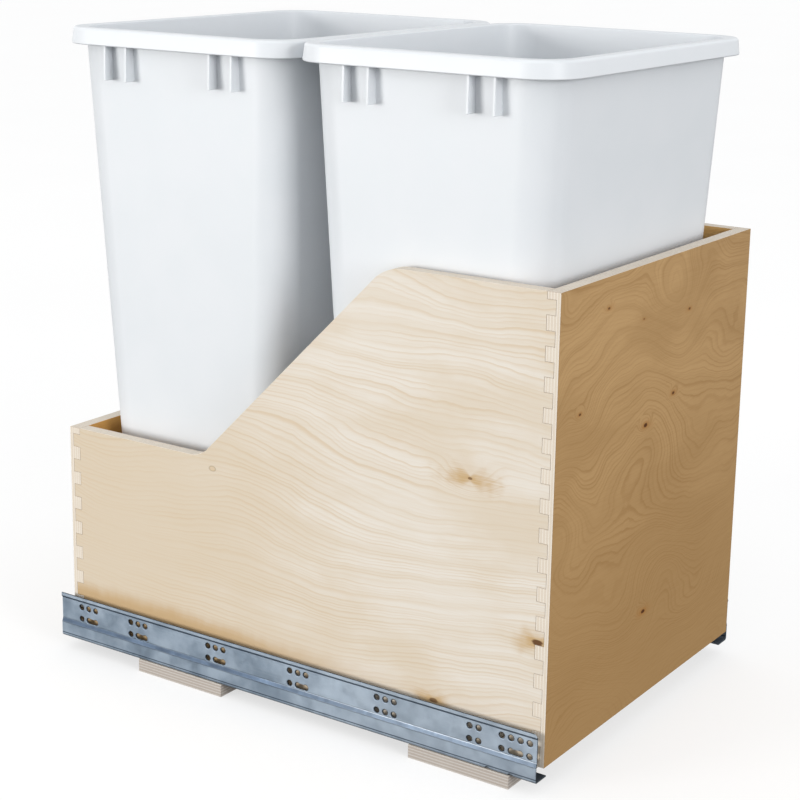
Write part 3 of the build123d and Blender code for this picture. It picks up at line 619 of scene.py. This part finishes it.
# Slides: rails, guide strips and running profiles roll-formed from galvanised strip, then
# pierced. The zinc is pale blue-grey with faint crystals, rubbed along its length.
RAIL_FACE_STEP = 0.0012
RAIL_SHEET = 0.0012
FACE_LOW = 0.0168
FACE_HIGH = 0.0408
ZINC_SHADE = (0.32, 0.405, 0.505)
ZINC_LIGHT = (0.48, 0.57, 0.67)
CRYSTAL_SHADE = (0.25, 0.32, 0.41)
SMUDGE_SHADE = (0.16, 0.21, 0.28)
RUBBED_LIGHT = (0.56, 0.63, 0.71)
REAR_SHADE = (0.15, 0.20, 0.265)
FRONT_LIGHT = (0.60, 0.69, 0.79)
TOP_SHADE = (0.10, 0.115, 0.14)
HOLE_SHADE = (0.022, 0.03, 0.045)
INNER_FACE_SHADE = (0.035, 0.04, 0.048)
zinc, shader, add, connect = start_finish("galvanised_strip")
place = add("TexCoord", out="Object")
across, along, up = (add("SeparateXYZ", (0, place), out=axis) for axis in "XYZ")
rail_low, rail_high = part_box("left_cabinet_profile")
crystals = add("TexVoronoi", ("Vector", place), ("Scale", 150.0), ("Randomness", 1.0), out="Color")
crystal_tone = add("SeparateColor", (0, crystals))
mottle = cloud(add, place, 0.03, 5.0, 0.6)
smudge_place = add("Mapping", ("Vector", place), ("Scale", (60.0, 60.0, 26.0)))
smudge = cloud(add, smudge_place, 1.0, 4.0)
drawn_place = add("Mapping", ("Vector", place), ("Scale", (700.0, 9.0, 700.0)))
drawn = add("TexNoise", ("Vector", drawn_place), ("Scale", 1.0), ("Detail", 4.0))
frontward = fade(add, along, 0.06, -0.16)
steel = tone(add, fade(add, mottle, 0.34, 0.68), ZINC_SHADE, ZINC_LIGHT)
steel = tone(add, sums(add, "MULTIPLY", crystal_tone, 0.1), steel, CRYSTAL_SHADE)
steel = tone(add, fade(add, smudge, 0.6, 0.8, high=0.25), steel, SMUDGE_SHADE)
steel = tone(add, fade(add, drawn, 0.58, 0.76, high=0.25), steel, RUBBED_LIGHT)
# Painted shade towards the rear of the rail and painted light towards its front.
steel = tone(add, fade(add, along, -0.1, 0.08, high=0.2), steel, REAR_SHADE)
steel = tone(add, sums(add, "MULTIPLY", frontward, 0.4), steel, FRONT_LIGHT)

# Painted shade, reflections and highlights along the rail's folds: height above its underside, reach,
# share, shade.
step_share = sums(add, "SUBTRACT", 0.98, sums(add, "MULTIPLY", frontward, 0.1))
glint_share = sums(add, "MULTIPLY", frontward, 0.45)
for height, reach, share, shade in (
        (0.0434, 0.0013, 0.5, (0.50, 0.58, 0.68)),
        (0.0408, 0.0014, 0.8, (0.065, 0.095, 0.145)),
        (0.0168, 0.0033, step_share, (0.03, 0.045, 0.07)),
        (0.0187, 0.0006, glint_share, (0.62, 0.67, 0.73)),
        (0.0038, 0.0008, 0.85, (0.05, 0.075, 0.115)),
        (0.0, 0.0009, 0.7, (0.04, 0.06, 0.09))):
    off = sums(add, "ABSOLUTE", sums(add, "SUBTRACT", up, rail_low.z + height))
    painted_fold_line = fade(add, off, reach, reach * 0.35)
    steel = tone(add, sums(add, "MULTIPLY", painted_fold_line, share), steel, shade)
# Painted shade along the rail's top edge.
steel = tone(add, sums(add, "GREATER_THAN", up, rail_high.z - 0.0002), steel, TOP_SHADE)

# Painted shade in the dimples round the holes, and painted shade on the inner faces of the sheet.
recessed = sums(
    add, "MULTIPLY", sums(add, "GREATER_THAN", up, rail_low.z + FACE_LOW),
    sums(add, "LESS_THAN", up, rail_low.z + FACE_HIGH))
outer_skin = sums(add, "SUBTRACT", -rail_low.x, sums(add, "MULTIPLY", recessed, RAIL_FACE_STEP))
sunk = sums(add, "SUBTRACT", outer_skin, sums(add, "ABSOLUTE", across))
dimple_shade = sums(add, "MULTIPLY", recessed, fade(add, sunk, 0.00003, 0.0003, high=0.9))
steel = tone(add, dimple_shade, steel, HOLE_SHADE)
inner_face_shade = sums(add, "GREATER_THAN", sunk, RAIL_SHEET / 2)
steel = tone(add, sums(add, "MULTIPLY", inner_face_shade, 0.6), steel, INNER_FACE_SHADE)
connect("Base Color", steel)
dull = fade(add, mottle, 0.2, 0.8, low=0.36, high=0.5)
connect("Roughness", sums(add, "ADD", dull, sums(add, "MULTIPLY", crystal_tone, 0.05)))
connect("Normal", add("Bump", ("Strength", 0.12), ("Distance", 0.0002), ("Height", drawn)))
shader.inputs["Metallic"].default_value = 0.85
for side_name in ("left_", "right_"):
    dress(zinc, *(side_name + node for node in (
        "cabinet_profile", "guide_strip", "intermediate_profile", "drawer_profile", "closing_tab")))


# Rollers, hooks, rivets, screws, damper and springs: bright steel, turned, headed or coiled, and
# left with the fine rings of the tool.
bright, shader, add, connect = start_finish("bright_steel")
place = add("TexCoord", out="Object")
turned = add("TexNoise", ("Vector", place), ("Scale", 1800.0), ("Detail", 2.0))
worn = cloud(add, place, 0.004)
connect("Base Color", tone(add, fade(add, worn, 0.35, 0.75), (0.56, 0.57, 0.59), (0.44, 0.45, 0.47)))
connect("Roughness", fade(add, worn, 0.2, 0.8, low=0.2, high=0.36))
connect("Normal", add("Bump", ("Strength", 0.08), ("Distance", 0.0001), ("Height", turned)))
shader.inputs["Metallic"].default_value = 1.0
dress(bright, "cleat_screws", "housing_rivets", "clip_screws", "lever_pins")
for side_name in ("left_", "right_"):
    dress(bright, *(side_name + node for node in (
        "lower_rollers", "upper_rollers", "rear_hook", "damper_cylinder", "damper_rod", "closing_spring")))


# Cages, soft-close units, clips and levers: moulded plastics, dark grey or light grey, with the
# fine spark texture of the mould.
def moulded(name, base, shade, roughness):
    """Moulded plastic with a fine spark texture."""
    plastic, _, add, connect = start_finish(name)
    place = add("TexCoord", out="Object")
    grit = add("TexNoise", ("Vector", place), ("Scale", 2600.0), ("Detail", 2.0))
    flow = cloud(add, place, 0.018)
    connect("Base Color", tone(add, fade(add, flow, 0.3, 0.8), base, shade))
    connect("Roughness", fade(add, grit, 0.2, 0.8, low=roughness - 0.07, high=roughness + 0.07))
    connect("Normal", add("Bump", ("Strength", 0.25), ("Distance", 0.0001), ("Height", grit)))
    return plastic


dark_plastic = moulded("dark_polymer", (0.035, 0.036, 0.04), (0.05, 0.052, 0.057), 0.52)
light_plastic = moulded("light_polymer", (0.40, 0.42, 0.44), (0.34, 0.36, 0.38), 0.45)
clip_plastic = moulded("clip_polymer", (0.10, 0.105, 0.115), (0.075, 0.08, 0.088), 0.5)
for side_name in ("left_", "right_"):
    dress(dark_plastic, *(side_name + node for node in (
        "lower_cage", "upper_cage", "soft_close_housing", "soft_close_cover")))
    dress(light_plastic, side_name + "catch", side_name + "release_lever")
    dress(clip_plastic, side_name + "locking_clip")


# Studio: a glowing white floor that the object neither mirrors nor is lit by, an even white
# surround that is dark below the horizon, a large soft box behind on the left and a weaker one
# in front.
FLOOR_SIZE = 40.0
FLOOR_GLOW = 0.64
# Strength of the surround by the height of its direction: from, to, strength from, strength to.
SKY_RAMPS = ((-0.16, -0.05, 0.12, 1.0), (0.0, 1.0, 1.0, 0.88))
floor_mesh = bmesh.new()
bmesh.ops.create_grid(floor_mesh, x_segments=1, y_segments=1, size=FLOOR_SIZE / 2)
floor_data = bpy.data.meshes.new("studio_floor")
floor_mesh.to_mesh(floor_data)
floor_mesh.free()
studio_floor = bpy.data.objects.new("studio_floor", floor_data)
bpy.context.scene.collection.objects.link(studio_floor)
floor_paint, shader, add, connect = start_finish("floor_paint")
speckle = cloud(add, add("TexCoord", out="Object"), 0.4, 2.0)
connect("Base Color", tone(add, speckle, (0.34, 0.34, 0.34), (0.36, 0.36, 0.36)))
shader.inputs["Roughness"].default_value = 0.9
shader.inputs["Specular IOR Level"].default_value = 0.1
shader.inputs["Emission Color"].default_value = (1.0, 1.0, 1.0, 1.0)
shader.inputs["Emission Strength"].default_value = FLOOR_GLOW
floor_data.materials.append(floor_paint)
studio_floor.visible_diffuse = False
studio_floor.visible_glossy = False

surround = bpy.data.worlds.new("studio_surround")
bpy.context.scene.world = surround
surround.use_nodes = True
backdrop = surround.node_tree.nodes["Background"]
backdrop.inputs["Color"].default_value = (0.99, 0.995, 1.0, 1.0)
sky_way = surround.node_tree.nodes.new("ShaderNodeTexCoord")
sky_parts = surround.node_tree.nodes.new("ShaderNodeSeparateXYZ")
surround.node_tree.links.new(sky_way.outputs["Generated"], sky_parts.inputs[0])
sky_light = surround.node_tree.nodes.new("ShaderNodeMath")
sky_light.operation = "MULTIPLY"
for slot, ramp in enumerate(SKY_RAMPS):
    sky_ramp = surround.node_tree.nodes.new("ShaderNodeMapRange")
    for socket, value in zip(("From Min", "From Max", "To Min", "To Max"), ramp):
        sky_ramp.inputs[socket].default_value = value
    surround.node_tree.links.new(sky_parts.outputs["Z"], sky_ramp.inputs["Value"])
    surround.node_tree.links.new(sky_ramp.outputs["Result"], sky_light.inputs[slot])
surround.node_tree.links.new(sky_light.outputs[0], backdrop.inputs["Strength"])
bpy.context.scene.view_settings.view_transform = "Standard"


def soft_light(name, place, aim, size, watts, tint):
    """Square soft box aimed at a point."""
    lamp = bpy.data.lights.new(name, "AREA")
    lamp.size = size
    lamp.energy = watts
    lamp.color = tint
    holder = bpy.data.objects.new(name, lamp)
    bpy.context.scene.collection.objects.link(holder)
    holder.location = place
    holder.rotation_euler = (Vector(aim) - Vector(place)).to_track_quat("-Z", "Y").to_euler()


soft_light(
    "key_softbox", place=(-3.7, 2.0, 0.65), aim=(0, 0, 0.35), size=1.4, watts=106.0,
    tint=(1.0, 0.985, 0.96))
soft_light(
    "front_softbox", place=(-1.0, -3.1, 1.0), aim=(0, 0, 0.3), size=1.2, watts=44.0,
    tint=(1.0, 1.0, 1.0))


# Camera: a long lens at the photograph's angle, a little above the bins. The lens is shifted, so
# that the object stands in the middle of the picture.
CAMERA_AZIMUTH = math.radians(-56.144)
CAMERA_ELEVATION = math.radians(13.686)
CAMERA_ROLL = math.radians(0.932)
CAMERA_PLACE = Vector((-1.425623, -0.954134, 0.735039))
FOCAL_PIXELS = 1845.376
PICTURE_PIXELS = 800
SENSOR_WIDTH = 36.0
LENS_SHIFT = -0.075
back = Vector((
    math.sin(CAMERA_AZIMUTH) * math.cos(CAMERA_ELEVATION),
    -math.cos(CAMERA_AZIMUTH) * math.cos(CAMERA_ELEVATION), math.sin(CAMERA_ELEVATION)))
level_right = Vector((0, 0, 1)).cross(back).normalized()
level_up = back.cross(level_right)
right = level_right * math.cos(CAMERA_ROLL) + level_up * math.sin(CAMERA_ROLL)
top = level_up * math.cos(CAMERA_ROLL) - level_right * math.sin(CAMERA_ROLL)
camera_data = bpy.data.cameras.new("photo_camera")
camera_data.sensor_width = SENSOR_WIDTH
camera_data.lens = FOCAL_PIXELS * SENSOR_WIDTH / PICTURE_PIXELS
camera_data.shift_y = LENS_SHIFT
camera = bpy.data.objects.new("photo_camera", camera_data)
bpy.context.scene.collection.objects.link(camera)
camera.matrix_world = Matrix.Translation(CAMERA_PLACE) @ Matrix((right, top, back)).transposed().to_4x4()
bpy.context.scene.camera = camera
